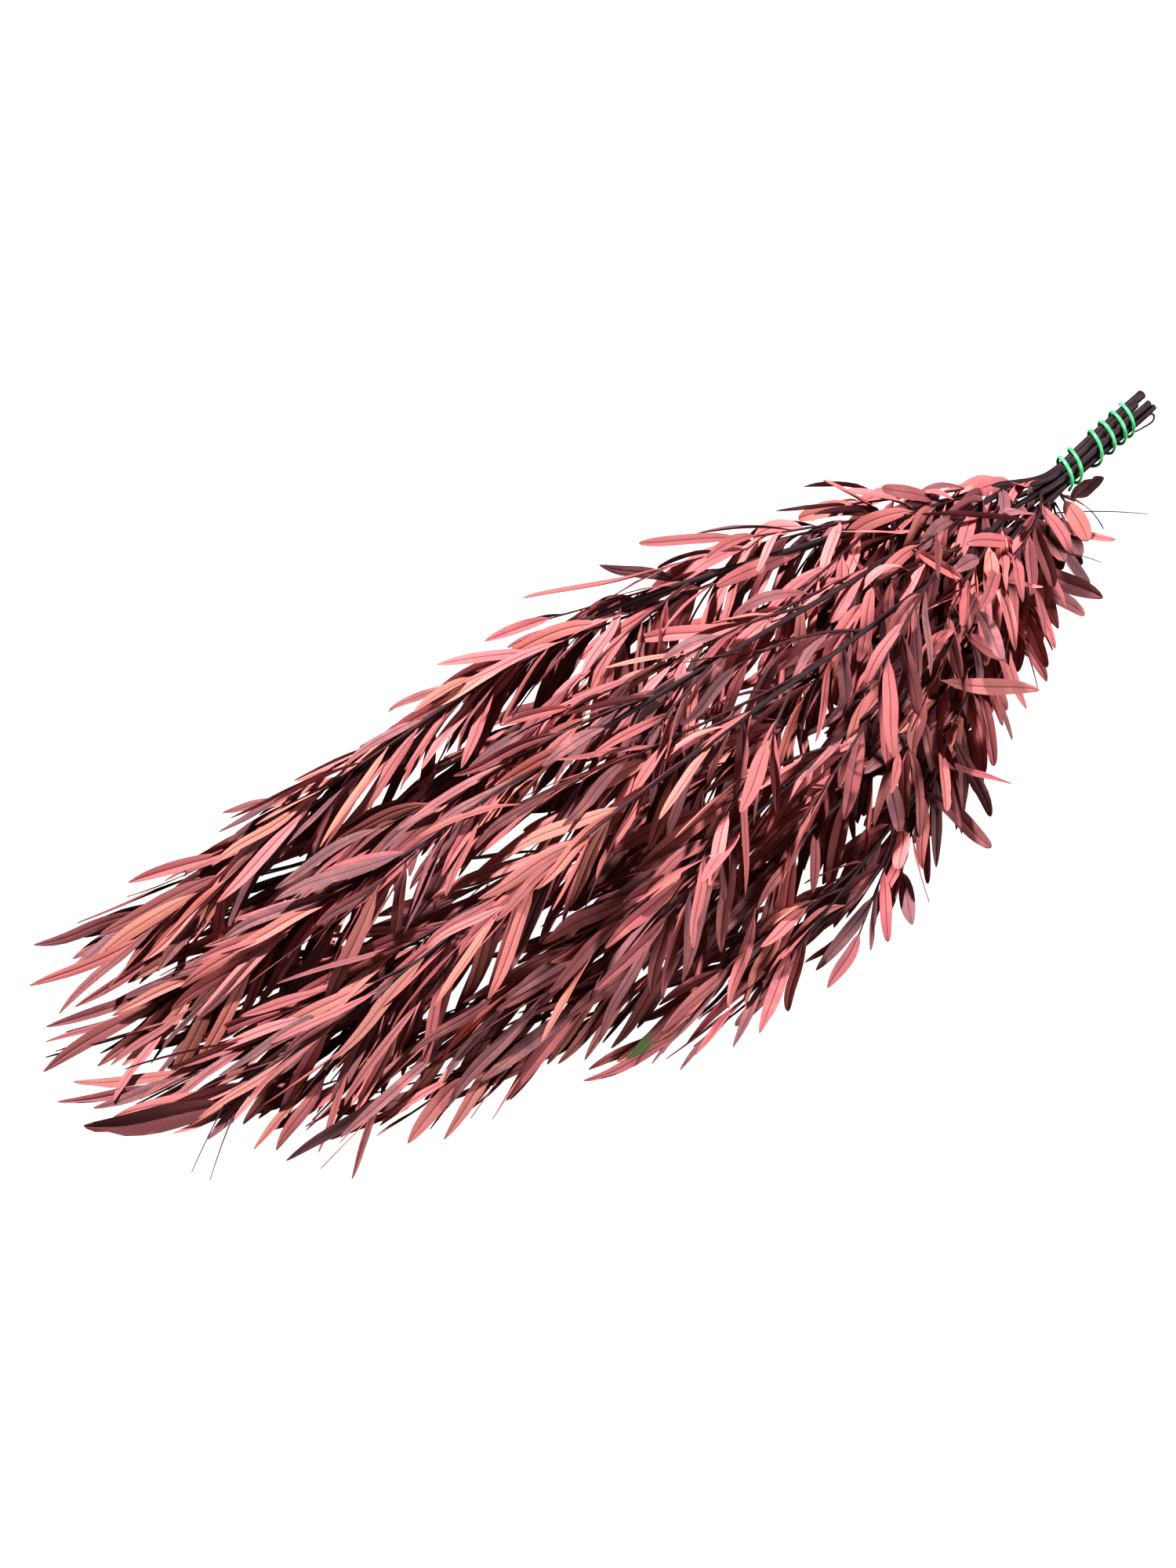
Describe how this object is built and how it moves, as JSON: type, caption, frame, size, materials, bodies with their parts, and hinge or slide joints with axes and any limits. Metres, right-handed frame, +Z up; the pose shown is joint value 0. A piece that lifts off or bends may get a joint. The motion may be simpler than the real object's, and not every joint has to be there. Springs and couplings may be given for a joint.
{
  "type": "preserved eucalyptus bunch",
  "caption": "Tied bunch of dyed, preserved willow-leaf eucalyptus stems lying on its side, held together near the cut ends by a wound elastic.",
  "frame": {"origin": "under the middle of the bunch's bounding box, on the table that it lies on", "axes": "+X towards the cut ends, +Y across the bunch, +Z up from the table"},
  "size_m": [0.7338, 0.282, 0.1407],
  "materials": {
    "dyed_foliage": "soft satin leaves, matt bark",
    "elastic": "satin"
  },
  "bodies": {
    "root": {"leafy_stem_1": "dyed_foliage", "leafy_stem_2": "dyed_foliage", "leafy_stem_3": "dyed_foliage", "leafy_stem_4": "dyed_foliage", "leafy_stem_5": "dyed_foliage", "leafy_stem_6": "dyed_foliage", "leafy_stem_7": "dyed_foliage", "leafy_stem_8": "dyed_foliage", "elastic_tie": "elastic"}
  },
  "joints": []
}
